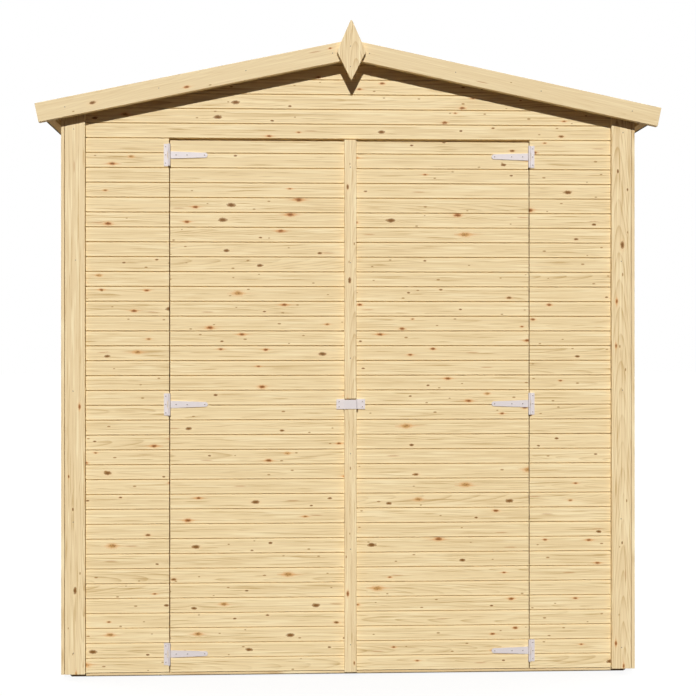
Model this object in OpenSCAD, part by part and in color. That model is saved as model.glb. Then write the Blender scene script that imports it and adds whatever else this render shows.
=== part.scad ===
// Apex garden shed: horizontal boarded walls on light timber frames, a boarded floor on bearers,
// a low pitched roof with barge boards and finials, and a pair of outward opening doors.
// Millimetres. Front faces -Y, +Z is up, the origin is on the ground at the middle of the plan.

/* [Overall size] */
// Width over the corner trims
shed_w = 1880; // [1500:10:2600]
// Depth over the corner trims
shed_d = 1880; // [1300:10:3600]
// Height of the barge boards' apex above the ground
apex_h = 2074; // [2020:1:2600]
// Slope of the roof in degrees
roof_slope = 11.85; // [6:0.05:16]

/* [Wall boards] */
// Height of one course of boards
course_h = 48.47; // [30:0.01:49]
// Thickness of the wall and door boards
board_t = 12; // [8:0.5:20]
// Height of the boards' lower edge above the ground
board_foot = 16; // [5:1:30]

/* [Floor] */
// Height of a bearer
bearer_h = 36; // [30:1:75]
// Width of a bearer
bearer_w = 44; // [30:1:75]
// Number of bearers
bearer_count = 5; // [3:1:9]
// Distance of a plinth's face behind the face of the end wall boards
plinth_set = 4; // [2:0.5:10]
// Gap between a plinth and the end wall boards over it
plinth_gap = 2; // [1:0.5:6]
// Height of a plinth's lower edge above the ground
plinth_low = 7; // [0:0.5:10]
// Thickness of the floor boards
floor_t = 14; // [9:1:22]
// Gap between the floor's edge and the side boards
floor_side_gap = 3; // [1:0.5:10]

/* [Frame timbers] */
// Depth of a frame timber, away from the boards
frame_t = 28; // [20:1:45]
// Width of a frame timber
frame_w = 38; // [28:1:60]
// Number of studs in a side wall and in the back wall
stud_count = 5; // [3:1:9]
// Height of the ridge beam at its faces
ridge_h = 70; // [45:1:100]
// Depth of a purlin below the roof boards
purlin_h = 45; // [30:1:70]

/* [Corner trims] */
// Width of a corner trim board
trim_w = 65; // [45:1:90]
// Thickness of a corner trim board
trim_t = 12; // [8:1:20]

/* [Roof] */
// Thickness of the roof boards
roof_t = 12; // [9:1:20]
// Thickness of the roofing felt
felt_t = 2; // [1:0.5:4]
// Depth of the felt's surface below the barge boards' upper edge
felt_drop = 3; // [2:0.5:10]
// Clearance where the roof's sloped pieces seat on each other and on the walls
seat_gap = 0.05; // [0.02:0.01:0.3]
// Distance of the roof's side edge beyond the corner trims
eave_reach = 55; // [45:1:120]
// Distance of the roof's end beyond the end wall boards
gable_reach = 28; // [14:1:80]
// Width of an eave batten
eave_batten_w = 30; // [20:1:40]
// Height of an eave batten at its outer face
eave_batten_h = 28; // [24:1:60]
// Depth of felt folded down over an eave batten
felt_fold = 30; // [10:1:40]
// Half width of the felt strip over the ridge
ridge_felt_w = 120; // [60:5:200]
// Width of a barge board
barge_w = 62; // [50:1:110]
// Thickness of a barge board
barge_t = 18; // [12:1:25]
// Distance of a barge board's tail beyond the roof's side edge
barge_tail = 22; // [5:1:60]

/* [Finials] */
// Width of a finial
finial_w = 94; // [60:1:140]
// Height of a finial above its widest place
finial_up = 101; // [60:1:160]
// Depth of a finial below its widest place
finial_down = 93; // [60:1:160]
// Depth of a finial's widest place below the apex
finial_set = 43; // [20:1:60]
// Width of a finial's blunt upper tip
finial_tip = 5; // [2:0.5:10]
// Thickness of a finial
finial_t = 16; // [10:1:25]

/* [Doors] */
// Distance between the two lines of hinges
door_w = 1183; // [900:1:1500]
// Number of board courses in the height of a door
door_courses = 36; // [28:1:38]
// Gap around a door leaf
door_gap = 5.5; // [5:0.5:10]
// Gap between the meeting edges of the two leaves
meet_gap = 1.5; // [1:0.1:6]
// Gap between a closed leaf's back and its stops
stop_gap = 6; // [5:0.5:12]
// Size of a door stop across the opening
stop_w = 18; // [10:1:30]
// Width of the cover strip at the meeting edges
strip_w = 39; // [30:1:70]
// Thickness of the cover strip
strip_t = 18; // [10:1:25]
// Place of the cover strip's middle to the right of the shed's middle
strip_shift = -0.5; // [-20:0.5:20]
// Width of a ledge or brace
ledge_w = 50; // [35:1:90]
// Thickness of a ledge or brace
ledge_t = 28; // [18:1:35]
// Distance of the ledges' ends from the leaf's edges
ledge_set = 30; // [28:1:60]

/* [Hinges] */
// Height of the lowest hinge above the boards' lower edge
hinge_low = 61; // [56:1:120]
// Distance of the highest hinge below the top of the door
hinge_top = 50; // [50:1:150]
// Height of a hinge's fixed plate
plate_h = 72; // [60:1:110]
// Width of a hinge's fixed plate beside its pin
plate_w = 12.5; // [10:0.5:35]
// Length of a hinge's strap
strap_l = 125; // [80:1:300]
// Height of a strap at its knuckle
strap_h = 24; // [16:1:32]
// Height of a strap at its tip
strap_tip_h = 16; // [10:1:24]
// Thickness of the hinge's sheet metal
sheet_t = 2.5; // [1.5:0.5:3]
// Outer radius of a knuckle
knuckle_r = 4; // [3.5:0.1:4.5]
// Radius of a hinge pin
pin_r = 2.4; // [1.5:0.1:2.5]
// Clearance around a hinge pin
pin_clear = 0.05; // [0.02:0.01:0.1]
// Clearance between the ends of two knuckles
knuckle_gap = 0.5; // [0.3:0.1:1.5]

/* [Latch] */
// Height of the latch's middle above the boards' lower edge
latch_z = 875; // [700:1:1200]
// Height of the latch's plates
latch_h = 33; // [25:1:60]
// Height of the bridge over the cover strip
latch_bridge_h = 30; // [20:1:55]
// Width of the left foot on the boards
latch_foot_w = 26; // [15:1:60]
// Width of the keeper on the right leaf
keeper_w = 28; // [15:1:60]
// Thickness of the latch's plates
latch_t = 3; // [2:0.5:5]

/* [Hidden] */
$fn = 48;
LEFT = -1;
RIGHT = 1;

// Faces of the boards and frames, as distances from the middle of the plan
side_face = shed_w / 2 - trim_t;
end_face = shed_d / 2 - trim_t;
side_inner = side_face - board_t;
end_inner = end_face - board_t;
side_room = side_inner - frame_t;
end_room = end_inner - frame_t;

// Depths below the barge boards' upper edge, square to the roof
roof_top = felt_drop + felt_t;
roof_under = roof_top + roof_t;
roof_seat = roof_under + seat_gap;
roof_edge = shed_w / 2 + eave_reach;
roof_end = end_face + gable_reach;
barge_end = roof_end + barge_t;

// Heights
floor_top = bearer_h + floor_t;
opening_top = board_foot + door_courses * course_h;
door_top = opening_top - door_gap;

// Places across the doorway
hinge_x = door_w / 2;
opening_x = hinge_x + door_gap / 2;
leaf_x = hinge_x - door_gap / 2;
strip_left = strip_shift - strip_w / 2;
strip_right = strip_shift + strip_w / 2;
meet_right = strip_right + meet_gap;

// The hinge pins stand clear of the boards by a knuckle and one millimetre
pin_out = knuckle_r + 1;
pin_y = -end_face - pin_out;
hinge_mid = (hinge_low + door_top - board_foot - hinge_top) / 2;
hinge_heights = [for (h = [hinge_low, hinge_mid, door_top - board_foot - hinge_top]) board_foot + h];
ledge_lift = max(0, floor_top + stop_gap + ledge_w / 2 - hinge_heights[0]);
ledge_heights = [hinge_heights[0] + ledge_lift, hinge_heights[1], hinge_heights[2]];

// Height of a roof plane above a place x, at depth p below the barge boards' upper edge
function roof_z(x, p) = apex_h - abs(x) * tan(roof_slope) - p / cos(roof_slope);

// The place i of n timbers of width w spread over a half length
function spread(i, n, half, w) = -half + w / 2 + i * (2 * half - w) / (n - 1);

// The edges of a door leaf
function leaf_low(side) = side == LEFT ? -leaf_x : meet_right;
function leaf_high(side) = side == LEFT ? strip_right : leaf_x;

module block(x0, x1, y0, y1, z0, z1) {
    translate([x0, y0, z0]) cube([x1 - x0, y1 - y0, z1 - z0]);
}

// An outline in x and z, drawn out from y0 to y1
module along_y(y0, y1) {
    translate([0, y1, 0]) rotate([90, 0, 0]) linear_extrude(y1 - y0) children();
}

module both_sides() {
    children();
    mirror([1, 0, 0]) children();
}

// An upright piece from z0 to the depth p under the roof
module under_roof(x0, x1, z0, p) {
    ridge = x0 < 0 && x1 > 0 ? [[0, roof_z(0, p)]] : [];
    polygon(concat([[x0, z0], [x1, z0], [x1, roof_z(x1, p)]], ridge, [[x0, roof_z(x0, p)]]));
}

// A layer of the roof from x0 to x1, between two depths
module roof_layer(x0, x1, p0, p1) {
    polygon([[x0, roof_z(x0, p0)], [x1, roof_z(x1, p0)], [x1, roof_z(x1, p1)], [x0, roof_z(x0, p1)]]);
}

// Floor

module floor_bearers() {
    reach = side_inner - floor_side_gap;
    plinth_in = end_inner - stop_gap;
    plinth_out = end_face - plinth_set;
    color("burlywood") {
        for (i = [0 : bearer_count - 1]) {
            y = spread(i, bearer_count, plinth_in, bearer_w);
            block(-reach, reach, y - bearer_w / 2, y + bearer_w / 2, 0, bearer_h);
        }
        block(-reach, reach, -plinth_out, -plinth_in, plinth_low, board_foot - plinth_gap);
        block(-reach, reach, plinth_in, plinth_out, plinth_low, board_foot - plinth_gap);
    }
}

module floor_deck() {
    color("wheat")
        block(-side_inner + floor_side_gap, side_inner - floor_side_gap,
              -end_inner + stop_gap, end_inner - stop_gap, bearer_h, floor_top);
}

// Boarded walls

module front_wall(side) {
    color("navajowhite")
        if (side == LEFT) block(-side_face, -opening_x, -end_face, -end_inner, board_foot, opening_top);
        else block(opening_x, side_face, -end_face, -end_inner, board_foot, opening_top);
}

module front_wall_left() { front_wall(LEFT); }
module front_wall_right() { front_wall(RIGHT); }

module front_gable() {
    color("navajowhite")
        along_y(-end_face, -end_inner) under_roof(-side_face, side_face, opening_top, roof_seat);
}

module back_wall() {
    color("navajowhite")
        along_y(end_inner, end_face) under_roof(-side_face, side_face, board_foot, roof_seat);
}

module right_wall() {
    color("navajowhite")
        along_y(-end_inner, end_inner) under_roof(side_inner, side_face, board_foot, roof_seat);
}

module left_wall() { mirror([1, 0, 0]) right_wall(); }

// Frames

header_top = opening_top + frame_w;
sill_top = floor_top + frame_t;
rail_under = roof_seat + frame_w;
ridge_under = roof_z(frame_w / 2, roof_seat) - ridge_h;
side_rail_under = roof_z(side_inner, roof_seat) - frame_w;

// The rails under the two slopes of an end wall
module sloped_rails(y0, y1) {
    both_sides() along_y(y0, y1) roof_layer(frame_w / 2, side_room, roof_seat, rail_under);
}

module front_studs() {
    color("burlywood") {
        both_sides() {
            block(opening_x, opening_x + frame_w, -end_inner, -end_room, floor_top, opening_top);
            along_y(-end_inner, -end_room)
                under_roof(side_room - frame_w, side_room, sill_top, rail_under + seat_gap);
        }
        block(-frame_w / 2, frame_w / 2, -end_inner, -end_room, header_top,
              ridge_under - seat_gap);
    }
}

module front_rails() {
    color("burlywood") {
        both_sides() block(opening_x + frame_w, side_room, -end_inner, -end_room, floor_top, sill_top);
        block(-side_room + frame_w, side_room - frame_w, -end_inner, -end_room, opening_top, header_top);
        sloped_rails(-end_inner, -end_room);
    }
}

module back_studs() {
    color("burlywood")
        for (i = [0 : stud_count - 1]) {
            x = spread(i, stud_count, side_room, frame_w);
            along_y(end_room, end_inner)
                if (abs(x) < 1) square_post(x, sill_top, ridge_under - seat_gap);
                else under_roof(x - frame_w / 2, x + frame_w / 2, sill_top, rail_under + seat_gap);
        }
}

module square_post(x, z0, z1) {
    translate([x - frame_w / 2, z0]) square([frame_w, z1 - z0]);
}

module back_rails() {
    color("burlywood") {
        block(-side_room, side_room, end_room, end_inner, floor_top, sill_top);
        sloped_rails(end_room, end_inner);
    }
}

module right_studs() {
    color("burlywood")
        for (i = [0 : stud_count - 1]) {
            y = spread(i, stud_count, end_inner, frame_w);
            block(side_room, side_inner, y - frame_w / 2, y + frame_w / 2, sill_top, side_rail_under);
        }
}

module right_rails() {
    color("burlywood") {
        block(side_room, side_inner, -end_inner, end_inner, floor_top, sill_top);
        along_y(-end_inner, end_inner) under_roof(side_room, side_inner, side_rail_under, roof_seat);
    }
}

module left_studs() { mirror([1, 0, 0]) right_studs(); }
module left_rails() { mirror([1, 0, 0]) right_rails(); }

// Strips on the posts and header that the closed leaves shut towards
module door_stops() {
    stop_y = -end_inner + stop_gap;
    color("burlywood") {
        both_sides()
            block(opening_x - stop_w, opening_x, stop_y, -end_room, floor_top, opening_top - stop_w - 1);
        block(-opening_x, opening_x, stop_y, -end_room, opening_top - stop_w, opening_top);
    }
}

// Corner trims

// The boards that face the front and the back
module end_corner_trims() {
    color("moccasin")
        both_sides()
            for (y = [-end_face - trim_t, end_face])
                along_y(y, y + trim_t) under_roof(side_face - trim_w, side_face, board_foot, roof_seat);
}

// The boards that face the sides and lap the edges of the others
module side_corner_trims() {
    color("moccasin")
        both_sides()
            for (y = [-end_face - trim_t, end_face - trim_w])
                along_y(y, y + trim_w + trim_t)
                    under_roof(side_face, side_face + trim_t, board_foot, roof_seat);
}

// Roof

module ridge_beam() {
    color("burlywood")
        along_y(-end_inner, end_inner) under_roof(-frame_w / 2, frame_w / 2, ridge_under, roof_seat);
}

module purlins() {
    x = side_room / 2;
    color("burlywood")
        both_sides()
            along_y(-end_room, end_room)
                roof_layer(x - frame_w / 2, x + frame_w / 2, roof_seat, roof_seat + purlin_h);
}

module roof_boards_right() {
    color("wheat") along_y(-roof_end, roof_end) roof_layer(0, roof_edge, roof_top + seat_gap, roof_under);
}

module roof_boards_left() { mirror([1, 0, 0]) roof_boards_right(); }

// The two sheets lie on the boards, stop short of each other and fold down over the eaves
module roof_felt() {
    sheet_gap = 3;
    color("dimgray")
        both_sides()
            along_y(-roof_end, roof_end)
                polygon([
                    [sheet_gap, roof_z(sheet_gap, felt_drop)],
                    [roof_edge + felt_t, roof_z(roof_edge + felt_t, felt_drop)],
                    [roof_edge + felt_t, roof_z(roof_edge, roof_under) - felt_fold],
                    [roof_edge, roof_z(roof_edge, roof_under) - felt_fold],
                    [roof_edge, roof_z(roof_edge, roof_top)],
                    [sheet_gap, roof_z(sheet_gap, roof_top)]
                ]);
}

module ridge_felt() {
    strip_top = felt_drop - min(felt_t, felt_drop - 1);
    color("dimgray")
        along_y(-roof_end, roof_end)
            polygon([
                for (x = [-ridge_felt_w, 0, ridge_felt_w]) [x, roof_z(x, strip_top)],
                for (x = [ridge_felt_w, 0, -ridge_felt_w]) [x, roof_z(x, felt_drop - seat_gap)]
            ]);
}

module eave_battens() {
    foot = roof_z(roof_edge, roof_under) - eave_batten_h;
    color("burlywood")
        both_sides()
            along_y(-roof_end, roof_end)
                under_roof(roof_edge - eave_batten_w, roof_edge, foot, roof_seat);
}

// A barge board: mitred at the apex, its tail cut square
module barge(y) {
    tail = roof_edge + barge_tail;
    foot = tail - barge_w * sin(roof_slope);
    color("moccasin")
        along_y(y, y + barge_t)
            polygon([
                [0, roof_z(0, 0)], [tail, roof_z(tail, 0)],
                [foot, roof_z(foot, barge_w)], [0, roof_z(0, barge_w)]
            ]);
}

module front_barge_right() { barge(-barge_end); }
module front_barge_left() { mirror([1, 0, 0]) front_barge_right(); }
module back_barge_right() { barge(roof_end); }
module back_barge_left() { mirror([1, 0, 0]) back_barge_right(); }

module finial(y) {
    color("moccasin")
        translate([0, 0, apex_h - finial_set])
            along_y(y, y + finial_t)
                polygon([
                    [-finial_w / 2, 0], [0, -finial_down], [finial_w / 2, 0],
                    [finial_tip / 2, finial_up], [-finial_tip / 2, finial_up]
                ]);
}

module front_finial() { finial(-barge_end - finial_t); }
module back_finial() { finial(barge_end); }

// Door leaves

module door_boards(side) {
    color("navajowhite")
        block(leaf_low(side), leaf_high(side), -end_face, -end_inner, board_foot, door_top);
}

module door_ledges(side) {
    color("burlywood")
        for (z = ledge_heights)
            block(leaf_low(side) + ledge_set, leaf_high(side) - ledge_set,
                  -end_inner, -end_inner + ledge_t, z - ledge_w / 2, z + ledge_w / 2);
}

// Braces rise from the hinge side to the meeting side between the ledges
module door_braces(side) {
    hinge_end = side == LEFT ? leaf_low(side) + ledge_set : leaf_high(side) - ledge_set;
    free_end = side == LEFT ? leaf_high(side) - ledge_set : leaf_low(side) + ledge_set;
    in = side == LEFT ? ledge_w : -ledge_w;
    color("burlywood")
        for (i = [0, 1]) {
            z0 = ledge_heights[i] + ledge_w / 2;
            z1 = ledge_heights[i + 1] - ledge_w / 2;
            along_y(-end_inner, -end_inner + ledge_t)
                polygon([[hinge_end, z0], [hinge_end + in, z0], [free_end, z1], [free_end - in, z1]]);
        }
}

module left_door_boards() { door_boards(LEFT); }
module right_door_boards() { door_boards(RIGHT); }
module left_door_ledges() { door_ledges(LEFT); }
module right_door_ledges() { door_ledges(RIGHT); }
module left_door_braces() { door_braces(LEFT); }
module right_door_braces() { door_braces(RIGHT); }

// The strip is fixed to the left leaf, flush with its meeting edge
module cover_strip() {
    color("moccasin")
        block(strip_left, strip_right, -end_face - strip_t, -end_face, board_foot, door_top);
}

// Tee hinges, drawn about the pin of a left hand hinge with the wall's face at y = pin_out

module hinge_plate() {
    gap_h = strap_h + 2 * knuckle_gap;
    difference() {
        union() {
            block(-plate_w - pin_out, 0, pin_out - sheet_t, pin_out, -plate_h / 2, plate_h / 2);
            cylinder(h = plate_h, r = knuckle_r, center = true);
        }
        block(-pin_out - 1, pin_out + 1, -pin_out - 1, pin_out + 1, -gap_h / 2, gap_h / 2);
    }
    cylinder(h = plate_h, r = pin_r, center = true);
}

module hinge_strap() {
    tip = strap_l - strap_tip_h / 2;
    difference() {
        union() {
            cylinder(h = strap_h, r = knuckle_r, center = true);
            along_y(pin_out - sheet_t, pin_out) {
                polygon([
                    [0, -strap_h / 2], [tip, -strap_tip_h / 2], [tip, strap_tip_h / 2], [0, strap_h / 2]
                ]);
                translate([tip, 0]) circle(d = strap_tip_h);
            }
        }
        cylinder(h = strap_h + 2, r = pin_r + pin_clear, center = true);
    }
}

// A hinge is the same upside down, so half a turn about y makes a left hand one right handed
module at_hinges(side) {
    for (z = hinge_heights)
        translate([side * hinge_x, pin_y, z]) rotate([0, side == RIGHT ? 180 : 0, 0]) children();
}

module hinge_plates() {
    color("silver") {
        at_hinges(LEFT) hinge_plate();
        at_hinges(RIGHT) hinge_plate();
    }
}

module left_door_straps() { color("silver") at_hinges(LEFT) hinge_strap(); }
module right_door_straps() { color("silver") at_hinges(RIGHT) hinge_strap(); }

// Latch: a plate that steps up from the left leaf's boards over the cover strip, and its keeper

module latch_plate() {
    front = -end_face - strip_t - latch_t;
    z = board_foot + latch_z;
    color("silver") {
        block(strip_left - latch_foot_w, strip_left, -end_face - latch_t, -end_face,
              z - latch_h / 2, z + latch_h / 2);
        block(strip_left - latch_t, strip_left, front, -end_face,
              z - latch_bridge_h / 2, z + latch_bridge_h / 2);
        block(strip_left - latch_t, strip_right, front, front + latch_t,
              z - latch_bridge_h / 2, z + latch_bridge_h / 2);
    }
}

module latch_keeper() {
    z = board_foot + latch_z;
    color("silver") {
        block(meet_right, meet_right + keeper_w, -end_face - latch_t, -end_face,
              z - latch_h / 2, z + latch_h / 2);
        block(meet_right, meet_right + latch_t, -end_face - strip_t - latch_t, -end_face,
              z - latch_bridge_h / 2, z + latch_bridge_h / 2);
    }
}

floor_bearers();
floor_deck();
front_wall_left();
front_wall_right();
front_gable();
back_wall();
left_wall();
right_wall();
front_studs();
front_rails();
back_studs();
back_rails();
left_studs();
left_rails();
right_studs();
right_rails();
door_stops();
end_corner_trims();
side_corner_trims();
ridge_beam();
purlins();
roof_boards_left();
roof_boards_right();
roof_felt();
ridge_felt();
eave_battens();
front_barge_left();
front_barge_right();
back_barge_left();
back_barge_right();
front_finial();
back_finial();
left_door_boards();
left_door_ledges();
left_door_braces();
cover_strip();
right_door_boards();
right_door_ledges();
right_door_braces();
hinge_plates();
left_door_straps();
right_door_straps();
latch_plate();
latch_keeper();
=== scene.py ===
"""The looks of a boarded garden shed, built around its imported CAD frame.

Metres. The doors face -Y, +Z is up and the origin is on the ground at the middle of the plan.
"""

import math
import random

import bmesh
import bpy
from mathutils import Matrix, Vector


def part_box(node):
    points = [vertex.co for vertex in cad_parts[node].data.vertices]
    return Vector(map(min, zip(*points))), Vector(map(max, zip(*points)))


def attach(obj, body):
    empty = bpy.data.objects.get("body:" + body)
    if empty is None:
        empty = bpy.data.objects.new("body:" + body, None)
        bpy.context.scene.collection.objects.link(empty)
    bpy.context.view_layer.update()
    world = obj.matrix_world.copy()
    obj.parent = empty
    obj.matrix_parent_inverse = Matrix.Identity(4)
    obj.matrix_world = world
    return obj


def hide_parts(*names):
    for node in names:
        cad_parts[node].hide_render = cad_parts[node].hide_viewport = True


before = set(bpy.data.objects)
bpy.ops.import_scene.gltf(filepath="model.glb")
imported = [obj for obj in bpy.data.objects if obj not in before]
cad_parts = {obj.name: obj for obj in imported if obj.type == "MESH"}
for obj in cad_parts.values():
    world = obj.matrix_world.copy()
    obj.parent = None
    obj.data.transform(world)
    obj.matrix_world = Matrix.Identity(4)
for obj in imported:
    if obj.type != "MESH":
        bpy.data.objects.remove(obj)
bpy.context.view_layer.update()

MM = 0.001
X_AXIS, Y_AXIS, Z_AXIS = Vector((1, 0, 0)), Vector((0, 1, 0)), Vector((0, 0, 1))
SEED = 7

# The boards
COURSE = 48.47 * MM
FLOOR_BOARD = 91.3 * MM
ROOF_BOARD = 95.6 * MM
JOINT_CHAMFER = 0.7 * MM
JOINT_SLOT = 2.9 * MM
SLOT_DEPTH = 7 * MM
BACK_CHAMFER = 0.8 * MM
LEAST_BOARD = 3 * MM
ARRIS = 1.4 * MM

# The roof
ROOF_BOARD_THICKNESS = 12 * MM
ROOF_SLOPE = math.radians(11.85)
DOWN_SLOPE = Vector((math.cos(ROOF_SLOPE), 0, -math.sin(ROOF_SLOPE)))
ROOF_NORMAL = Vector((math.sin(ROOF_SLOPE), 0, math.cos(ROOF_SLOPE)))

random.seed(SEED)


# ---------------------------------------------------------------- meshes


class Pile:
    """Collects many small solids as one mesh, with each one's own grain and tone.

    grain is a point's place in its board: along it, across its width, and through it.
    tone is two random numbers of the board, and its width in metres.
    """

    def __init__(self):
        self.points, self.faces, self.grain, self.tone = [], [], [], []

    def add(self, points, faces, middle, along, through, width):
        across = through.cross(along)
        start = len(self.points)
        tone = (random.random(), random.random(), width)
        for p in points:
            step = p - middle
            self.points.append(p)
            self.grain.append((step.dot(along), step.dot(across), step.dot(through)))
            self.tone.append(tone)
        self.faces += [[start + i for i in face] for face in faces]

    def piece(self, name, body, slot, look=None):
        """Makes the mesh a piece that rides on a body. look is its material, if not the slot's own."""
        mesh = bpy.data.meshes.new(name)
        mesh.from_pydata([tuple(p) for p in self.points], [], self.faces)
        for label, rows in (("grain", self.grain), ("tone", self.tone)):
            layer = mesh.attributes.new(label, "FLOAT_VECTOR", "POINT")
            layer.data.foreach_set("vector", [number for row in rows for number in row])
        bm = bmesh.new()
        bm.from_mesh(mesh)
        bmesh.ops.recalc_face_normals(bm, faces=bm.faces)
        bm.to_mesh(mesh)
        bm.free()
        mesh.polygons.foreach_set("use_smooth", [False] * len(mesh.polygons))
        mesh.materials.append(MATERIALS[look or slot])
        made = bpy.data.objects.new(name, mesh)
        bpy.context.scene.collection.objects.link(made)
        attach(made, body)
        return made


def prism(section, near, far, place):
    """A solid with the same section all along. place(u, v, d) puts a point in the row frame.

    section lists (v, d) points; near(v, d) and far(v, d) are where the solid starts and ends.
    """
    count = len(section)
    points = [place(near(v, d), v, d) for v, d in section] + [place(far(v, d), v, d) for v, d in section]
    faces = [list(range(count)), list(range(2 * count - 1, count - 1, -1))]
    faces += [[i, (i + 1) % count, count + (i + 1) % count, count + i] for i in range(count)]
    return points, faces


def board_section(low, high, thick, kinks=()):
    """The section of a board with chamfered joints, from v = low to high, as (v, d) points."""
    cut = min(JOINT_CHAMFER, (high - low) / 4)
    slot = min(JOINT_SLOT / 2, cut * 2)
    front = [(low + slot, cut), (low + slot + cut, 0)]
    front += [(v, 0) for v in kinks if low + slot + cut < v < high - slot - cut]
    front += [(high - slot - cut, 0), (high - slot, cut)]
    back = [(high, thick - BACK_CHAMFER), (high - BACK_CHAMFER, thick)]
    back += [(v, thick) for v in kinks if low + BACK_CHAMFER < v < high - BACK_CHAMFER]
    back += [(low + BACK_CHAMFER, thick), (low, thick - BACK_CHAMFER)]
    deep_high = [(high - slot, SLOT_DEPTH), (high, SLOT_DEPTH)]
    deep_low = [(low, SLOT_DEPTH), (low + slot, SLOT_DEPTH)]
    return front + deep_high + back + deep_low


def boarding(
    name, nodes, body, place, near, far, low, high, pitch, thick, kinks=(), first=None, slot="boards"
):
    """Boards side by side in place of a CAD slab: v runs across them, from low to high."""
    pile = Pile()
    along = (place(1, 0, 0) - place(0, 0, 0)).normalized()
    through = (place(0, 0, 1) - place(0, 0, 0)).normalized()
    edge = low if first is None else first
    while edge < high - 1 * MM:
        bottom, top = max(edge, low), min(edge + pitch, high)
        edge += pitch
        if high - top < LEAST_BOARD:
            top = high
            edge = max(edge, high)
        if top - bottom < LEAST_BOARD:
            continue
        section = board_section(bottom, top, thick, kinks)
        points, faces = prism(section, near, far, place)
        middle_v = edge - pitch / 2
        middle = place((near(middle_v, 0) + far(middle_v, 0)) / 2, middle_v, thick / 2)
        shift = along * random.uniform(-1, 1)
        pile.add(points, faces, middle + shift, along, through, pitch)
    made = pile.piece(name, body, slot)
    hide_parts(*nodes)
    return made


def in_order(parts):
    """Edges or corners, each once, in an order that is the same on every run."""
    return sorted(set(parts), key=lambda part: part.index)


def islands(bm):
    """The separate solids of a mesh, as lists of faces."""
    left, found = set(bm.faces), []
    while left:
        group, edge = set(), [left.pop()]
        while edge:
            face = edge.pop()
            group.add(face)
            for side in face.edges:
                for other in side.link_faces:
                    if other in left:
                        left.discard(other)
                        edge.append(other)
        found.append(sorted(group, key=lambda face: face.index))
    return sorted(found, key=lambda group: group[0].index)


def clean_copy(node):
    """A CAD node's mesh with whole flat faces."""
    bm = bmesh.new()
    bm.from_mesh(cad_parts[node].data)
    bmesh.ops.remove_doubles(bm, verts=bm.verts, dist=0.01 * MM)
    bmesh.ops.dissolve_limit(bm, angle_limit=math.radians(1), verts=bm.verts, edges=bm.edges)
    bm.edges.index_update()
    bm.faces.index_update()
    return bm


def softened(solid, arris):
    """Rounds the arrises of a solid, and gives its points and faces."""
    edges = list(solid.edges)
    bmesh.ops.bevel(
        solid, geom=edges, offset=arris, segments=2, profile=0.6, affect="EDGES", clamp_overlap=True
    )
    solid.verts.index_update()
    points = [v.co.copy() for v in solid.verts]
    faces = [[v.index for v in face.verts] for face in solid.faces]
    solid.free()
    return points, faces


def timbers(
    nodes, body, slot, along=None, arris=ARRIS, name=None, shave=None, look=None, last=False
):
    """Planed timbers with softened arrises, each in place of a solid of the CAD nodes.

    shave(point) gives the place of a corner, for timbers cut a little smaller than the solid.
    The grain follows the first of the longest edges, or the last of them, which turns it round.
    """
    pile = Pile()
    for node in nodes:
        bm = clean_copy(node)
        for group in islands(bm):
            sides = in_order(edge for face in group for edge in face.edges)
            if last:
                sides.reverse()
            # Rounded, so that edges of one length stay equal
            longest = max(sides, key=lambda edge: round(edge.calc_length(), 6))
            grain = along or (longest.verts[1].co - longest.verts[0].co).normalized()
            broad = max(group, key=lambda face: face.calc_area() * (abs(face.normal.dot(grain)) < 0.5))
            through = broad.normal.copy()
            grain = (grain - through * grain.dot(through)).normalized()
            corners = in_order(v for face in group for v in face.verts)
            middle = sum((v.co for v in corners), Vector()) / len(corners)
            spread = [v.co.dot(through.cross(grain)) for v in corners]
            solid = bmesh.new()
            made = {v: solid.verts.new(shave(v.co) if shave else v.co) for v in corners}
            for face in group:
                solid.faces.new([made[v] for v in face.verts])
            points, faces = softened(solid, arris)
            shift = grain * random.uniform(-1, 1)
            pile.add(points, faces, middle + shift, grain, through, max(spread) - min(spread))
        bm.free()
    made = pile.piece(name or nodes[0] + "_timber", body, slot, look)
    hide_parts(*nodes)
    return made


# ---------------------------------------------------------------- materials


class Number:
    """A number in a shader's nodes. Arithmetic on it adds math nodes."""

    def __init__(self, shader, socket):
        self.shader, self.socket = shader, socket

    def __add__(self, other):
        return self.shader.math("ADD", self, other)

    def __sub__(self, other):
        return self.shader.math("SUBTRACT", self, other)

    def __mul__(self, other):
        return self.shader.math("MULTIPLY", self, other)

    def __truediv__(self, other):
        return self.shader.math("DIVIDE", self, other)

    def __pow__(self, other):
        return self.shader.math("POWER", self, other)

    def __abs__(self):
        return self.shader.math("ABSOLUTE", self)


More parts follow.
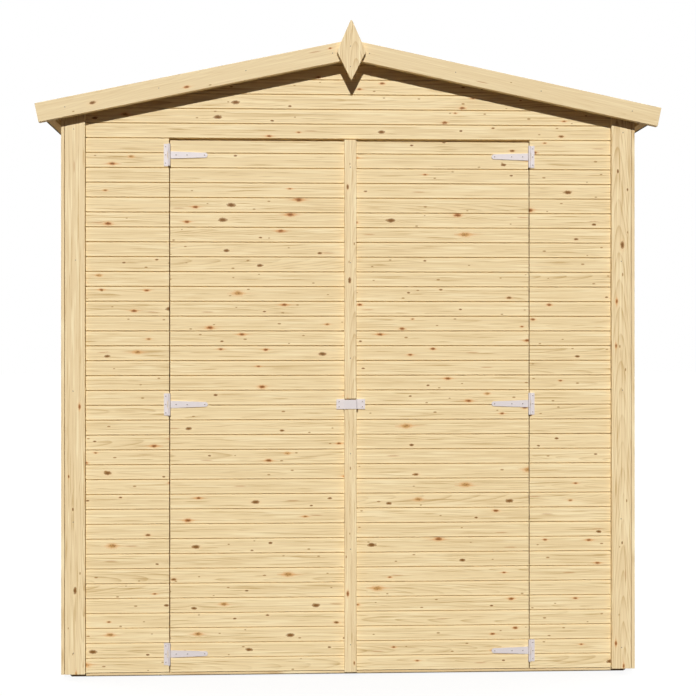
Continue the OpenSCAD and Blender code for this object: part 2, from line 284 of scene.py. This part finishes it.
class Shader:
    """The nodes of a material or a world, and short ways to build them."""

    def __init__(self, owner):
        self.owner = owner
        owner.use_nodes = True
        self.tree = owner.node_tree
        self.bsdf = self.tree.nodes.get("Principled BSDF")

    def put(self, socket, value):
        """Sets an input to a constant, or links it to an output or a Number."""
        value = value.socket if isinstance(value, Number) else value
        if isinstance(value, bpy.types.NodeSocket):
            self.tree.links.new(value, socket)
        elif isinstance(value, (tuple, list)) and len(value) == 3 and len(socket.default_value) == 4:
            socket.default_value = (*value, 1)
        else:
            socket.default_value = value

    def node(self, kind, inputs=(), **settings):
        made = self.tree.nodes.new("ShaderNode" + kind)
        for key, value in settings.items():
            setattr(made, key, value)
        for key, value in dict(inputs).items():
            self.put(made.inputs[key], value)
        return made

    def math(self, operation, *values, clamp=False):
        made = self.node("Math", enumerate(values), operation=operation, use_clamp=clamp)
        return Number(self, made.outputs[0])

    def join(self, x, y, z=0.0):
        return self.node("CombineXYZ", {"X": x, "Y": y, "Z": z}).outputs[0]

    def split(self, vector):
        return [Number(self, part) for part in self.node("SeparateXYZ", {"Vector": vector}).outputs]

    def attribute(self, name):
        """The three numbers that a mesh holds at each point under a name."""
        return self.split(self.node("Attribute", attribute_name=name).outputs["Vector"])

    def cells(self, place):
        """Uneven cells along a line: three random numbers of the nearest one, and its middle."""
        inputs = {"W": place, "Scale": 1.0, "Randomness": 0.9}
        found = self.node("TexVoronoi", inputs, voronoi_dimensions="1D")
        return *self.split(found.outputs["Color"]), Number(self, found.outputs["W"])

    def length(self, x, y):
        found = self.node("VectorMath", {0: self.join(x, y)}, operation="LENGTH")
        return Number(self, found.outputs["Value"])

    def noise(self, vector, scale=1.0, detail=2.0, rough=0.5):
        inputs = {"Vector": vector, "Scale": scale, "Detail": detail, "Roughness": rough}
        return Number(self, self.node("TexNoise", inputs).outputs["Fac"])

    def mix(self, factor, a, b):
        made = self.node("Mix", data_type="RGBA", clamp_factor=True)
        for index, value in ((0, factor), (6, a), (7, b)):
            self.put(made.inputs[index], value)
        return made.outputs[2]

    def step(self, value, low, high, to_low=0.0, to_high=1.0):
        """A smooth change from to_low at low to to_high at high."""
        inputs = {
            "Value": value, "From Min": low, "From Max": high, "To Min": to_low, "To Max": to_high
        }
        made = self.node("MapRange", inputs, interpolation_type="SMOOTHSTEP")
        return Number(self, made.outputs["Result"])

    def rays(self):
        """Which rays are the camera's, and which are the camera's or come off a glossy face."""
        path = self.node("LightPath").outputs
        return path["Is Camera Ray"], self.math("MAXIMUM", path["Is Camera Ray"], path["Is Glossy Ray"])

    def finish(self, color, roughness, height=None, depth=1 * MM, metallic=0.0, strength=1.0):
        self.put(self.bsdf.inputs["Base Color"], color)
        self.put(self.bsdf.inputs["Roughness"], roughness)
        self.bsdf.inputs["Metallic"].default_value = metallic
        if height is not None:
            inputs = {"Height": height, "Distance": depth, "Strength": strength}
            self.put(self.bsdf.inputs["Normal"], self.node("Bump", inputs).outputs["Normal"])
        return self.owner


# Lengths of board that hold at most one knot or pin knot, and the width of a year ring
KNOT_CELL = 140 * MM
PIN_CELL = 110 * MM
RING = 3.8 * MM

# Colours in the wood
GLEAM = (0.98, 0.84, 0.53)
# Painted highlight beside the joints of the boards
PAINTED_JOINT_HIGHLIGHT = (0.98, 0.80, 0.47)
SWELLING = (0.93, 0.74, 0.43)
TRAIL = (0.66, 0.30, 0.09)
FLARE = (0.76, 0.42, 0.16)
BROWN_HEART = (0.34, 0.175, 0.038)
RED_HEART = (0.62, 0.215, 0.05)
PALE_HEART = (0.68, 0.38, 0.12)
FLECK = (0.20, 0.085, 0.02)
KNOT_MIDDLE = (0.19, 0.078, 0.017)
KNOT_RIM = (0.27, 0.11, 0.027)
PIN_KNOT = (0.37, 0.185, 0.045)
RESIN = (0.47, 0.19, 0.06)


def spruce(
    name, pale, late, knots=0.46, taper=0.06, joint=0.0, rough=0.58, grain_depth=0.25 * MM, figure=1.0
):
    """Planed knotty spruce: year rings cut by the board's face, fibres, and knots the rings bend round.

    pale and late are the colours of early and late wood, and knots is the share of the cells with a
    knot. taper is how fast the rings run out of the board, joint how strong the painted highlight
    beside its joints is, and figure how strongly the grain shows.
    """
    s = Shader(bpy.data.materials.new(name))
    along, across, through = s.attribute("grain")
    one, two, width = s.attribute("tone")

    # At most one knot in each cell along the board
    cell = along / KNOT_CELL + one * 97
    side, size, chance, cell_middle = s.cells(cell)
    ahead = (cell - cell_middle) * KNOT_CELL
    aside = across - (side - 0.5) * width * 0.78
    radius = size ** 2.4 * (4.4 * MM) + 2.3 * MM
    wander = s.noise(s.join(along, across, one), 170.0) * 0.8 + 0.6
    away = s.length(ahead * 0.47, aside) * wander / radius
    here = s.math("LESS_THAN", chance, knots)
    core = here * s.step(away, 1.25, 0.6)
    middle = here * s.step(away, 0.85, 0.35, 0.0, 0.85)
    rim = here * s.step(abs(away - 0.95), 0.3, 0.0)
    halo = here * s.math("EXPONENT", away ** 2 * -0.16)

    # Pin knots
    row = along / PIN_CELL + two * 61
    pin_side, pin_size, pin_chance, row_middle = s.cells(row)
    pin_ahead = (row - row_middle) * PIN_CELL
    pin_aside = across - (pin_side - 0.5) * width * 0.85
    pin_away = s.length(pin_ahead * 0.4, pin_aside) / (pin_size * (1.3 * MM) + 1.2 * MM)
    pin_core = s.math("LESS_THAN", pin_chance, knots) * s.step(pin_away, 1.3, 0.6)

    # Year rings about a pith that runs beside the board at a slight angle
    bent = across - aside * halo * 0.8
    drift = s.noise(s.join(along * 2.6, across * 9, one * 60))
    lean = two - 0.5
    pith_across = along * lean * 0.06 + (drift - 0.5) * (26 * MM) + bent + (one - 0.5) * 0.08
    pith_through = along * lean * 0.036 + through + two * 0.042 + 0.010
    reach = s.length(pith_across, pith_through)
    reach = s.noise(s.join(reach, one), 55.0, 1.0) * (6 * MM) + reach + along * lean * taper
    rings = s.math("FRACT", reach / RING)
    strong = s.noise(s.join(along * 1.7, across * 40, two))
    late_wood = rings ** 3.6 * s.step(rings, 1.0, 0.9) * s.step(strong, 0.3, 0.65, 0.35, 1.0)

    # Fibres, streaks and dashes along the grain, and slow changes of tone
    fibre = s.noise(s.join(along * 9, across * 900, through * 900), 1.0, 3.0, 0.6)
    streak = s.noise(s.join(along * 2.4, across * 170, one * 40 + through * 150), 1.0, 3.0, 0.6)
    dash = s.noise(s.join(along * 7, across * 300, two * 50), 1.0, 1.0)
    cloud = s.noise(s.join(along * 3, across * 14, two * 30))
    gleam = s.noise(s.join(along * 5, across * 200, one * 33 + 7))
    warm = late_wood + s.step(streak, 0.45, 0.72, 0.0, 0.35) + s.step(dash, 0.60, 0.72, 0.0, 0.75)
    warm = warm + s.step(fibre, 0.35, 0.75, -0.12, 0.16) + (cloud * 0.24 - 0.13)
    warm = s.math("ADD", warm, two * 0.12 - 0.06, clamp=True)
    color = s.mix(warm * figure, pale, late)
    color = s.mix(s.step(gleam, 0.52, 0.68, 0.0, 0.75 * figure), color, GLEAM)
    # Painted highlight: each board is made paler along both edges, beside its joints
    if joint:
        color = s.mix(s.step(abs(across) / width, 0.31, 0.38, 0.0, joint), color, PAINTED_JOINT_HIGHLIGHT)

    # A knot is brown, red or pale by its hue. Around it are a swelling, a trail and a flare
    hue = chance / knots
    color = s.mix(halo * 0.45, color, SWELLING)
    stretch = ahead / radius
    trail = here * s.math("EXPONENT", stretch * stretch * -0.03) * s.step(abs(aside) / radius, 1.1, 0.4)
    trail = trail * s.step(streak, 0.40, 0.56) * s.step(hue, 0.25, 0.5)
    color = s.mix(trail * 0.8, color, TRAIL)
    flare = here * s.step(hue, 0.2, 0.4) * s.step(away, 2.3, 0.9, 0.0, 0.55)
    color = s.mix(flare, color, FLARE)
    fleck = s.noise(s.join(along, across, two), 420.0)
    heart = s.mix(s.step(hue, 0.30, 0.38), BROWN_HEART, RED_HEART)
    heart = s.mix(s.step(hue, 0.8, 0.88), heart, PALE_HEART)
    heart = s.mix(s.step(fleck, 0.45, 0.7), heart, FLECK)
    color = s.mix(core * 0.92, color, heart)
    color = s.mix(middle * s.step(hue, 1.0, 0.8), color, KNOT_MIDDLE)
    color = s.mix(rim * s.step(hue, 1.0, 0.3, 0.1, 0.5), color, KNOT_RIM)
    color = s.mix(pin_core * 0.85, color, PIN_KNOT)

    # Resin pockets, in a few of the cells without a pin knot
    pocket = s.length(pin_ahead * 0.08, bent - (pin_size - 0.5) * width * 0.85)
    pocket = s.math("GREATER_THAN", pin_chance, 0.945) * s.step(pocket, 2.2 * MM, 0.8 * MM)
    color = s.mix(pocket * 0.6, color, RESIN)

    s.bsdf.inputs["Specular IOR Level"].default_value = 0.25
    height = late_wood * 0.5 + fibre * 0.5 - rim * 0.8
    return s.finish(color, late_wood * -0.08 + rough, height, grain_depth, strength=0.5)


def galvanised(name):
    """Bright zinc plated sheet with a faint spangle."""
    s = Shader(bpy.data.materials.new(name))
    place = s.node("TexCoord").outputs["Object"]
    spangle = s.split(s.node("TexVoronoi", {"Vector": place, "Scale": 420.0}).outputs["Color"])[0]
    dull = s.noise(place, 60.0, 3.0)
    color = s.mix(spangle * 0.5, (0.665, 0.612, 0.602), (0.735, 0.68, 0.672))
    color = s.mix(s.step(dull, 0.5, 0.75, 0.0, 0.35), color, (0.62, 0.575, 0.575))
    return s.finish(color, spangle * 0.12 + 0.55, dull, 0.15 * MM, metallic=0.15, strength=0.3)


def steel(name):
    """Dark steel of nail heads, with scuffs, which also paints the shade in the screws' sockets."""
    s = Shader(bpy.data.materials.new(name))
    scuff = s.noise(s.node("TexCoord").outputs["Object"], 700.0, 3.0, 0.6)
    color = s.mix(scuff, (0.10, 0.075, 0.055), (0.34, 0.29, 0.25))
    return s.finish(color, scuff * 0.3 + 0.4, scuff, 0.1 * MM, metallic=0.5, strength=0.4)


def felt(name):
    """Charcoal roofing felt with mineral grit."""
    s = Shader(bpy.data.materials.new(name))
    place = s.node("TexCoord").outputs["Object"]
    grit = s.node("TexVoronoi", {"Vector": place, "Scale": 520.0}).outputs
    shade = s.split(grit["Color"])[0]
    patch = s.noise(place, 5.0, 4.0, 0.6)
    color = s.mix(shade, (0.045, 0.05, 0.05), (0.14, 0.15, 0.15))
    color = s.mix(s.step(shade, 0.9, 0.97), color, (0.30, 0.31, 0.31))
    color = s.mix(s.step(patch, 0.4, 0.7, 0.0, 0.3), color, (0.075, 0.08, 0.085))
    height = s.math("SUBTRACT", 1.0, grit["Distance"])
    return s.finish(color, 0.93, height, 1.2 * MM, strength=0.7)


PALE, LATE = (0.88, 0.705, 0.405), (0.56, 0.38, 0.155)
MATERIALS = {
    # joint=0.7 paints a highlight along both edges of every board
    "boards": spruce("spruce_boards", PALE, LATE, knots=0.38, joint=0.7),
    "trim": spruce("spruce_trim", (0.87, 0.695, 0.41), (0.60, 0.41, 0.18), knots=0.34, taper=0.14),
    "strip": spruce("spruce_strip", (0.87, 0.695, 0.41), (0.58, 0.39, 0.17), knots=0.34, taper=0.36),
    "barge": spruce("spruce_barge", (0.83, 0.665, 0.39), (0.66, 0.47, 0.22), knots=0.2, figure=0.45),
    "framing": spruce(
        "spruce_framing", (0.82, 0.63, 0.35), (0.58, 0.38, 0.17), rough=0.72, grain_depth=0.5 * MM
    ),
    "floor": spruce("spruce_floor", (0.80, 0.62, 0.35), (0.56, 0.37, 0.165)),
    "roof_boards": spruce("spruce_roof", (0.81, 0.63, 0.36), (0.57, 0.38, 0.17)),
    "felt": felt("mineral_felt"),
    "galvanised": galvanised("zinc_plate"),
    "nail": steel("nail_steel_and_socket_shade"),
}


# ---------------------------------------------------------------- walls, floor and roof


def span(value):
    """A square end of boards, at the same place all over."""
    return lambda v, d: value


def front_place(y):
    """Places boards on a face that looks towards -Y: u is x, v is z, d goes inwards."""
    return lambda u, v, d: Vector((u, y + d, v))


def back_place(y):
    """The same for a face that looks towards +Y: u is -x."""
    return lambda u, v, d: Vector((-u, y - d, v))


def side_place(x):
    """Places boards on a side wall: u is y, v is z, d goes inwards from x."""
    inwards = -1 if x > 0 else 1
    return lambda u, v, d: Vector((x + inwards * d, u, v))


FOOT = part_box("left_wall")[0].z
# Millimetres that boards reach past the solid's left and right, which narrow the gaps by the hinges
OVERREACH = {"front_wall_left": (0, 1.7), "front_wall_right": (1.2, 0), "right_door_boards": (0, 1.2)}


def flat_wall(node, body):
    """Boards of a front panel or a door leaf with square ends."""
    low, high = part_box(node)
    top = high.z - (1 * MM if body != "shed" else 0)
    left, right = OVERREACH.get(node, (0, 0))
    near, far = span(low.x - left * MM), span(high.x + right * MM)
    boarding(node + "_boards", [node], body, front_place(low.y), near, far,
             low.z, top, COURSE, high.y - low.y, first=FOOT)


def gable_wall(node, place):
    """Boards of an end wall whose top follows the roof."""
    low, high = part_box(node)
    half = high.x
    eave = high.z - half * math.tan(ROOF_SLOPE)

    def reach(v, d):
        return min(half, (high.z - v) / math.tan(ROOF_SLOPE))

    boarding(node + "_boards", [node], "shed", place, lambda v, d: -reach(v, d), reach,
             low.z, high.z - 1 * MM, COURSE, high.y - low.y, kinks=(eave,), first=FOOT)


def side_wall(node):
    """Boards of a side wall. Its top is lower by the fall of the roof over the wall's thickness."""
    low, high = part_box(node)
    outer = high.x if high.x > 0 else low.x
    thick = high.x - low.x
    boarding(node + "_boards", [node], "shed", side_place(outer), span(low.y), span(high.y),
             low.z, high.z - thick * math.tan(ROOF_SLOPE), COURSE, thick, first=FOOT)


def floor_boards():
    low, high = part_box("floor_deck")
    boarding("floor_boards", ["floor_deck"], "shed", lambda u, v, d: Vector((v, u, high.z - d)),
             span(low.y), span(high.y), low.x, high.x, FLOOR_BOARD, high.z - low.z, slot="floor")


def roof_slope(node, side):
    """Boards that run down one slope, square to the ridge, with upright cuts at both ends."""
    low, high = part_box(node)
    reach = high.x if side > 0 else -low.x

    def place(u, v, d):
        p = DOWN_SLOPE * u - ROOF_NORMAL * d
        return Vector((side * p.x, v, high.z + p.z))

    boarding(node + "_set", [node], "shed", place, lambda v, d: d * math.tan(ROOF_SLOPE),
             lambda v, d: (reach + d * math.sin(ROOF_SLOPE)) / math.cos(ROOF_SLOPE),
             low.y, high.y, ROOF_BOARD, ROOF_BOARD_THICKNESS, slot="roof_boards")


def build_shell():
    for node in ("front_wall_left", "front_wall_right"):
        flat_wall(node, "shed")
    flat_wall("left_door_boards", "left_door")
    flat_wall("right_door_boards", "right_door")
    gable_wall("front_gable", front_place(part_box("front_gable")[0].y))
    gable_wall("back_wall", back_place(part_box("back_wall")[1].y))
    side_wall("left_wall")
    side_wall("right_wall")
    floor_boards()
    roof_slope("roof_boards_left", -1)
    roof_slope("roof_boards_right", 1)


def planed(pile, low, high, along, through):
    """Adds a planed board between two corners."""
    solid = bmesh.new()
    bmesh.ops.create_cube(solid, size=1)
    for v in solid.verts:
        v.co = Vector([low[i] + (v.co[i] + 0.5) * (high[i] - low[i]) for i in range(3)])
    points, faces = softened(solid, ARRIS)
    width = abs((high - low).dot(through.cross(along)))
    pile.add(points, faces, (low + high) / 2 + along * random.uniform(-1, 1), along, through, width)


def cover_strip():
    """The strip over the meeting edges, in two lengths that butt above the latch."""
    low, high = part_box("cover_strip")
    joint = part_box("latch_plate")[1].z - 1.2 * MM
    strip = Pile()
    planed(strip, low, Vector((high.x, high.y, joint)), Z_AXIS, -Y_AXIS)
    planed(strip, Vector((low.x, low.y, joint + 3.2 * MM)), high, Z_AXIS, -Y_AXIS)
    made = strip.piece("cover_strip_lengths", "left_door", "trim", "strip")
    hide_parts("cover_strip")


def finial_face(p):
    """Sets a finial's outer face back by the thickness of a nail head."""
    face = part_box("back_finial")[1].y
    return Vector((p.x, math.copysign(face - 0.6 * MM, p.y), p.z)) if abs(p.y) > face - 0.1 * MM else p


def corner_joint(p):
    """Keeps a side trim a little off the end trim beside it."""
    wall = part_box("front_gable")[1].x
    return Vector((math.copysign(wall + 1.2 * MM, p.x), p.y, p.z)) if abs(abs(p.x) - wall) < 0.1 * MM else p


def build_timbers():
    for wall in ("front", "back", "left", "right"):
        timbers([wall + "_studs", wall + "_rails"], "shed", "framing", name=wall + "_frame")
    timbers(["floor_bearers"], "shed", "framing")
    timbers(["door_stops"], "shed", "framing")
    timbers(["ridge_beam", "purlins"], "shed", "framing", name="roof_timbers")
    timbers(["eave_battens"], "shed", "framing")
    timbers(["end_corner_trims"], "shed", "trim", along=Z_AXIS)
    timbers(["side_corner_trims"], "shed", "trim", along=Z_AXIS, shave=corner_joint)
    for end in ("front", "back"):
        barges = [end + "_barge_left", end + "_barge_right"]
        timbers(barges, "shed", "trim", name=end + "_barge_boards", look="barge", last=end == "front")
        timbers([end + "_finial"], "shed", "trim", along=Z_AXIS, shave=finial_face)
    for side in ("left", "right"):
        door = side + "_door"
        timbers([door + "_ledges", door + "_braces"], door, "framing", name=door + "_ledges_and_braces")
    cover_strip()


def coat(look, *nodes):
    """Gives a material to CAD nodes that stay as they are."""
    for node in nodes:
        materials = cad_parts[node].data.materials
        materials.clear()
        materials.append(MATERIALS[look])


# ---------------------------------------------------------------- hardware


# Heads to turn, as (radius, height) in millimetres
SCREW = ((3.2, 0.0), (3.0, 0.45), (2.2, 0.75), (1.3, 0.8), (0.9, 0.15), (0.0, 0.1))
# A dark disc over the head's hollow, as painted shade of the socket
PAINTED_SOCKET_SHADE = ((1.9, 0.0), (1.8, 0.84), (0.0, 0.84))
NAIL = ((1.7, 0.0), (1.6, 0.3), (0.9, 0.45), (0.0, 0.5))
CLOUT = ((5.0, 0.0), (4.8, 0.6), (3.0, 0.95), (0.0, 1.05))

# The thickness of the hinges' sheet and of the latch, and where the screws stand
SHEET = 2.5 * MM
LATCH = 3 * MM
PLATE_SCREW_IN = 6 * MM
PLATE_SCREW_END = 9 * MM
STRAP_SCREWS = (26 * MM, 62 * MM, 119 * MM)
LATCH_SCREW_IN = 9 * MM
LATCH_SCREW_END = 8 * MM

# Where the nails stand: of the barge boards away from the ridge, of a finial down from its tip
BARGE_NAILS = (60 * MM, 340 * MM, 620 * MM, 920 * MM)
FINIAL_NAILS = (84 * MM, 150 * MM)
STRIP_NAIL_PITCH = 312 * MM
TRIM_NAIL_STRAY = 6


def turned(pile, profile, at, out, sides=12):
    """Adds a head turned about the direction out."""
    out = out.normalized()
    first = out.orthogonal().normalized()
    second = out.cross(first)
    points, faces = [], []
    for radius, height in profile[:-1]:
        for i in range(sides):
            turn = math.tau * i / sides
            spoke = first * math.cos(turn) + second * math.sin(turn)
            points.append(at + spoke * radius * MM + out * height * MM)
    for ring in range(0, (len(profile) - 2) * sides, sides):
        for i in range(sides):
            j = (i + 1) % sides
            faces.append([ring + i, ring + j, ring + sides + j, ring + sides + i])
    points.append(at + out * profile[-1][1] * MM)
    top = (len(profile) - 2) * sides
    faces += [[top + i, top + (i + 1) % sides, len(points) - 1] for i in range(sides)]
    faces.append(list(range(sides - 1, -1, -1)))
    pile.add(points, faces, at, first, out, 2 * profile[0][0] * MM)


def screw(heads, socket_shades, at):
    """Adds a screw head that faces the front, and a dark disc on it that paints the shade of its socket."""
    turned(heads, SCREW, at, -Y_AXIS)
    turned(socket_shades, PAINTED_SOCKET_SHADE, at, -Y_AXIS, 8)


def solids(node):
    """The lowest and highest corners of each solid of a CAD node."""
    bm = clean_copy(node)
    found = []
    for group in islands(bm):
        places = [v.co for face in group for v in face.verts]
        found.append((Vector([min(p[i] for p in places) for i in range(3)]),
                      Vector([max(p[i] for p in places) for i in range(3)])))
    bm.free()
    return found


def finish_hardware():
    """The latch, and the screws of the hinges and the latch."""
    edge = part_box("latch_keeper")[0].x
    latch_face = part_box("latch_plate")[0].y + 1 * MM
    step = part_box("cover_strip")[0].x - 3 * MM
    timbers(["latch_plate"], "left_door", "galvanised", along=X_AXIS, arris=0.6 * MM,
            shave=lambda p: p + X_AXIS * 1.4 * MM if abs(p.x - step) < 0.1 * MM and p.y > latch_face else p)
    timbers(["latch_keeper"], "right_door", "galvanised", along=X_AXIS, arris=0.8 * MM,
            shave=lambda p: Vector((p.x - 0.9 * MM, p.y, p.z)) if p.x < edge + 0.1 * MM else p)
    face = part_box("front_gable")[0].y

    plates, socket_shades = Pile(), Pile()
    for low, high in solids("hinge_plates"):
        x = low.x + PLATE_SCREW_IN if low.x < 0 else high.x - PLATE_SCREW_IN
        for z in (low.z + PLATE_SCREW_END, (low.z + high.z) / 2, high.z - PLATE_SCREW_END):
            screw(plates, socket_shades, Vector((x, face - SHEET, z)))
    plates.piece("hinge_plate_screws", "shed", "galvanised")
    # The sockets' dark discs are painted shade
    socket_shades.piece("hinge_plate_sockets", "shed", "galvanised", "nail")

    latch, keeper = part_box("latch_plate"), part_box("latch_keeper")
    leaves = (
        ("left_door", latch[0].x + LATCH_SCREW_IN, 1),
        ("right_door", keeper[1].x - LATCH_SCREW_IN, -1),
    )
    for leaf, foot, way in leaves:
        screws, socket_shades = Pile(), Pile()
        for low, high in solids(leaf + "_straps"):
            start = low.x if way > 0 else high.x
            for step in STRAP_SCREWS:
                screw(screws, socket_shades, Vector((start + way * step, face - SHEET, (low.z + high.z) / 2)))
        for z in (latch[0].z + LATCH_SCREW_END, latch[1].z - LATCH_SCREW_END):
            screw(screws, socket_shades, Vector((foot, face - LATCH, z)))
        screws.piece(leaf + "_screws", leaf, "galvanised")
        # The sockets' dark discs are painted shade
        socket_shades.piece(leaf + "_sockets", leaf, "galvanised", "nail")


def spaced(low, high, first, last, count):
    """Evenly spaced places, from first above low to last below high."""
    return [low + first + i * (high - low - first - last) / (count - 1) for i in range(count)]


def nail_up():
    """Nails of the trims, barge boards, finials and cover strip, and clouts of the felt."""
    nails = Pile()
    for node, axis in (("end_corner_trims", 1), ("side_corner_trims", 0)):
        for low, high in solids(node):
            middle = (low + high) / 2
            out = Vector([math.copysign(1, middle[i]) if i == axis else 0 for i in range(3)])
            at = high if middle[axis] > 0 else low
            for z in spaced(low.z, high.z, 70 * MM, 90 * MM, 5):
                place = middle.copy()
                place[axis] = at[axis]
                place.z = z
                place[1 - axis] += random.uniform(-TRIM_NAIL_STRAY, TRIM_NAIL_STRAY) * MM
                turned(nails, NAIL, place, out, 8)
    for end, out in (("front", -Y_AXIS), ("back", Y_AXIS)):
        for side in (-1, 1):
            low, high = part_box(end + ("_barge_left" if side < 0 else "_barge_right"))
            y = low.y if out.y < 0 else high.y
            for run in BARGE_NAILS:
                z = high.z - 32 * MM - run * math.tan(ROOF_SLOPE)
                turned(nails, NAIL, Vector((side * run, y, z)), out, 8)
        low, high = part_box(end + "_finial")
        y = low.y + 0.6 * MM if out.y < 0 else high.y - 0.6 * MM
        for drop in FINIAL_NAILS:
            turned(nails, NAIL, Vector((-3 * MM, y, high.z - drop)), out, 8)
    nails.piece("trim_nails", "shed", "galvanised", "nail")

    strip = Pile()
    low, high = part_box("cover_strip")
    for step in range(6):
        z = low.z + 90 * MM + step * STRIP_NAIL_PITCH
        turned(strip, NAIL, Vector(((low.x + high.x) / 2, low.y, z)), -Y_AXIS, 8)
    strip.piece("cover_strip_nails", "left_door", "galvanised", "nail")

    clouts = Pile()
    low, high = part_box("roof_felt")
    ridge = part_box("ridge_felt")[1]
    lap = ridge.x - 12 * MM
    lap_z = ridge.z - lap * math.tan(ROOF_SLOPE)
    for side in (-1, 1):
        normal = Vector((side * ROOF_NORMAL.x, 0, ROOF_NORMAL.z))
        for y in spaced(low.y, high.y, 30 * MM, 30 * MM, 13):
            turned(clouts, CLOUT, Vector((side * high.x, y, low.z + 14 * MM)), X_AXIS * side)
            turned(clouts, CLOUT, Vector((side * lap, y, lap_z)), normal)
    clouts.piece("felt_clouts", "shed", "galvanised")


# ---------------------------------------------------------------- stage


WHITE = (1.0, 1.0, 1.0)


def build_stage():
    """A floor that shows white with soft shadows, and throws warm light back at the shed."""
    bpy.ops.mesh.primitive_plane_add(size=60)
    floor = bpy.context.active_object
    floor.name = "studio_floor"
    s = Shader(bpy.data.materials.new("studio_floor"))
    camera, seen = s.rays()
    s.put(s.bsdf.inputs["Base Color"], s.mix(camera, (0.045, 0.03, 0.022), (0.9, 0.9, 0.9)))
    s.bsdf.inputs["Roughness"].default_value = 1.0
    s.bsdf.inputs["Specular IOR Level"].default_value = 0.0
    glow = s.node("Emission", {"Color": WHITE, "Strength": 1.0})
    mixed = s.node("MixShader", {0: seen * 0.88, 1: s.bsdf.outputs[0], 2: glow.outputs[0]})
    s.put(s.tree.nodes["Material Output"].inputs["Surface"], mixed.outputs[0])
    floor.data.materials.append(s.owner)


def build_world():
    """White to the camera and to metal. Its light is low from the front and fuller from behind."""
    world = bpy.data.worlds.new("studio")
    bpy.context.scene.world = world
    s = Shader(world)
    towards_back = s.split(s.node("TexCoord").outputs["Generated"])[1]
    level = s.step(towards_back, -0.35, 0.75, 0.06, 1.25)
    camera, seen = s.rays()
    strength = s.node("Mix", {"Factor": seen, "A": level, "B": 1.0}).outputs["Result"]
    background = s.tree.nodes["Background"]
    s.put(background.inputs["Color"], s.mix(strength, (1.0, 0.72, 0.72), WHITE))
    s.put(background.inputs["Strength"], strength)


def sun(name, towards, strength, spread):
    """A sun that shines towards a direction. spread is its width in degrees, which softens shadows."""
    light = bpy.data.lights.new(name, "SUN")
    light.energy = strength
    light.angle = math.radians(spread)
    lamp = bpy.data.objects.new(name, light)
    lamp.rotation_euler = Vector(towards).to_track_quat("-Z", "Y").to_euler()
    bpy.context.scene.collection.objects.link(lamp)


def build_lights():
    sun("key", (0.087, 1.0, -0.63), 3.3, 0.7)
    sun("fill_left", (0.80, -0.25, -0.55), 1.6, 25)
    sun("fill_right", (-0.80, -0.25, -0.55), 1.6, 25)


def build_camera():
    camera = bpy.data.cameras.new("camera")
    camera.lens = 50.957
    camera.shift_x = 0.0439
    camera.shift_y = -0.0076
    eye = bpy.data.objects.new("camera", camera)
    eye.location = (-0.2113, -4.158, 1.092)
    eye.rotation_euler = (math.radians(90.008), math.radians(0.019), math.radians(-1.833))
    bpy.context.scene.collection.objects.link(eye)
    bpy.context.scene.camera = eye
    bpy.context.scene.view_settings.view_transform = "Standard"


build_shell()
build_timbers()
coat("felt", "roof_felt", "ridge_felt")
coat("galvanised", "hinge_plates", "left_door_straps", "right_door_straps")
finish_hardware()
nail_up()
build_stage()
build_world()
build_lights()
build_camera()
